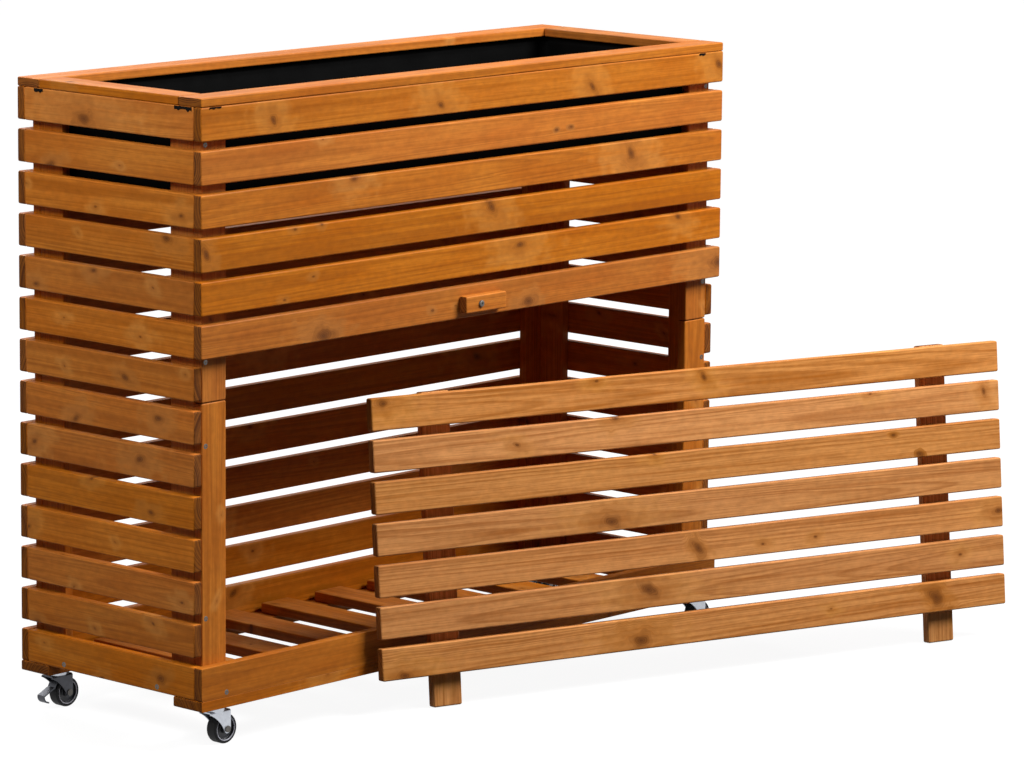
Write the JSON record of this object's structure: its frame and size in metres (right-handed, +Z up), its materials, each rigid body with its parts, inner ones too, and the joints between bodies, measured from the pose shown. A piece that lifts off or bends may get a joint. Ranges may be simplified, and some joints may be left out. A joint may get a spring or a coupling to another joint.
{
  "type": "raised planter",
  "caption": "Tall slatted wooden planter on swivel casters, with a lined trough on top, a storage space below and a loose slatted front panel held by a turn button.",
  "frame": {"origin": "on the floor under the middle of the planter, between its four casters", "axes": "+X along the front from left to right, +Y from the front to the rear, +Z up"},
  "size_m": [1.3986, 0.7222, 0.9133],
  "materials": {
    "stained_pine": "honey brown wood stain, satin",
    "liner_foil": "black film liner",
    "zinc_steel": "bright zinc plated, stamped",
    "screw_steel": "zinc plated screws",
    "tyre_rubber": "black rubber",
    "hub_plastic": "dark grey moulded plastic"
  },
  "bodies": {
    "planter": {"base_board_front": "stained_pine", "base_board_rear": "stained_pine", "base_screws": "screw_steel", "batten_screws": "screw_steel", "caster_front_left_plate": "zinc_steel", "caster_front_right_plate": "zinc_steel", "caster_kingpins": "zinc_steel", "caster_plate_screws": "screw_steel", "caster_rear_left_plate": "zinc_steel", "caster_rear_right_plate": "zinc_steel", "front_lower_batten_left": "stained_pine", "front_lower_batten_right": "stained_pine", "front_rail": "stained_pine", "front_slats": "stained_pine", "front_upper_batten_left": "stained_pine", "front_upper_batten_right": "stained_pine", "left_front_batten": "stained_pine", "left_rear_batten": "stained_pine", "left_slats": "stained_pine", "rear_batten_left": "stained_pine", "rear_batten_right": "stained_pine", "rear_slats": "stained_pine", "right_front_batten": "stained_pine", "right_rear_batten": "stained_pine", "right_slats": "stained_pine", "rim_front": "stained_pine", "rim_left": "stained_pine", "rim_rear": "stained_pine", "rim_right": "stained_pine", "storage_floor_boards": "stained_pine", "trough_bearer_front": "stained_pine", "trough_bearer_rear": "stained_pine", "trough_floor_boards": "stained_pine", "trough_liner": "liner_foil", "turn_button_screw": "screw_steel"},
    "turn_button": {"turn_button": "stained_pine"},
    "front_panel": {"panel_batten_left": "stained_pine", "panel_batten_right": "stained_pine", "panel_screws": "screw_steel", "panel_slats": "stained_pine"},
    "caster_front_left_swivel": {"caster_front_left_fork": "zinc_steel", "caster_front_left_axle": "zinc_steel"},
    "caster_front_left_wheel": {"caster_front_left_hub": "hub_plastic", "caster_front_left_tyre": "tyre_rubber"},
    "caster_front_right_swivel": {"caster_front_right_fork": "zinc_steel", "caster_front_right_axle": "zinc_steel"},
    "caster_front_right_wheel": {"caster_front_right_hub": "hub_plastic", "caster_front_right_tyre": "tyre_rubber"},
    "caster_rear_left_swivel": {"caster_rear_left_fork": "zinc_steel", "caster_rear_left_axle": "zinc_steel", "caster_rear_left_brake_pin": "zinc_steel"},
    "caster_rear_left_wheel": {"caster_rear_left_hub": "hub_plastic", "caster_rear_left_tyre": "tyre_rubber"},
    "caster_rear_left_brake": {"caster_rear_left_brake_lever": "zinc_steel"},
    "caster_rear_right_swivel": {"caster_rear_right_fork": "zinc_steel", "caster_rear_right_axle": "zinc_steel", "caster_rear_right_brake_pin": "zinc_steel"},
    "caster_rear_right_wheel": {"caster_rear_right_hub": "hub_plastic", "caster_rear_right_tyre": "tyre_rubber"},
    "caster_rear_right_brake": {"caster_rear_right_brake_lever": "zinc_steel"}
  },
  "joints": [
    {"name": "caster_front_left_swivel_turn", "type": "hinge", "parent": "planter", "child": "caster_front_left_swivel", "pos_m": [-0.4988, -0.157, 0.0484], "axis": [0, 0, 1], "continuous": true},
    {"name": "caster_front_left_wheel_roll", "type": "hinge", "parent": "caster_front_left_swivel", "child": "caster_front_left_wheel", "pos_m": [-0.4838, -0.157, 0.0215], "axis": [0, 1, 0], "continuous": true},
    {"name": "caster_front_right_swivel_turn", "type": "hinge", "parent": "planter", "child": "caster_front_right_swivel", "pos_m": [0.528, -0.157, 0.0484], "axis": [0, 0, 1], "continuous": true},
    {"name": "caster_front_right_wheel_roll", "type": "hinge", "parent": "caster_front_right_swivel", "child": "caster_front_right_wheel", "pos_m": [0.543, -0.157, 0.0215], "axis": [0, 1, 0], "continuous": true},
    {"name": "caster_rear_left_swivel_turn", "type": "hinge", "parent": "planter", "child": "caster_rear_left_swivel", "pos_m": [-0.5066, 0.1605, 0.0484], "axis": [0, 0, 1], "continuous": true},
    {"name": "caster_rear_left_wheel_roll", "type": "hinge", "parent": "caster_rear_left_swivel", "child": "caster_rear_left_wheel", "pos_m": [-0.4916, 0.1605, 0.0215], "axis": [0, 1, 0], "continuous": true},
    {"name": "caster_rear_left_brake_press", "type": "hinge", "parent": "caster_rear_left_swivel", "child": "caster_rear_left_brake", "pos_m": [-0.50742, 0.1605, 0.04175], "axis": [0, -1, 0], "range_deg": [0, 12]},
    {"name": "caster_rear_right_swivel_turn", "type": "hinge", "parent": "planter", "child": "caster_rear_right_swivel", "pos_m": [0.528, 0.1605, 0.0484], "axis": [0, 0, 1], "continuous": true},
    {"name": "caster_rear_right_wheel_roll", "type": "hinge", "parent": "caster_rear_right_swivel", "child": "caster_rear_right_wheel", "pos_m": [0.543, 0.1605, 0.0215], "axis": [0, 1, 0], "continuous": true},
    {"name": "caster_rear_right_brake_press", "type": "hinge", "parent": "caster_rear_right_swivel", "child": "caster_rear_right_brake", "pos_m": [0.52718, 0.1605, 0.04175], "axis": [0, -1, 0], "range_deg": [0, 12]},
    {"name": "turn_button_turn", "type": "hinge", "parent": "planter", "child": "turn_button", "pos_m": [-0.003, -0.1933, 0.5743], "axis": [0, -1, 0], "continuous": true},
    {"name": "front_panel_carry", "type": "slide", "parent": "planter", "child": "front_panel", "axis": [0, -1, 0], "range_m": [0, 0.4]}
  ]
}
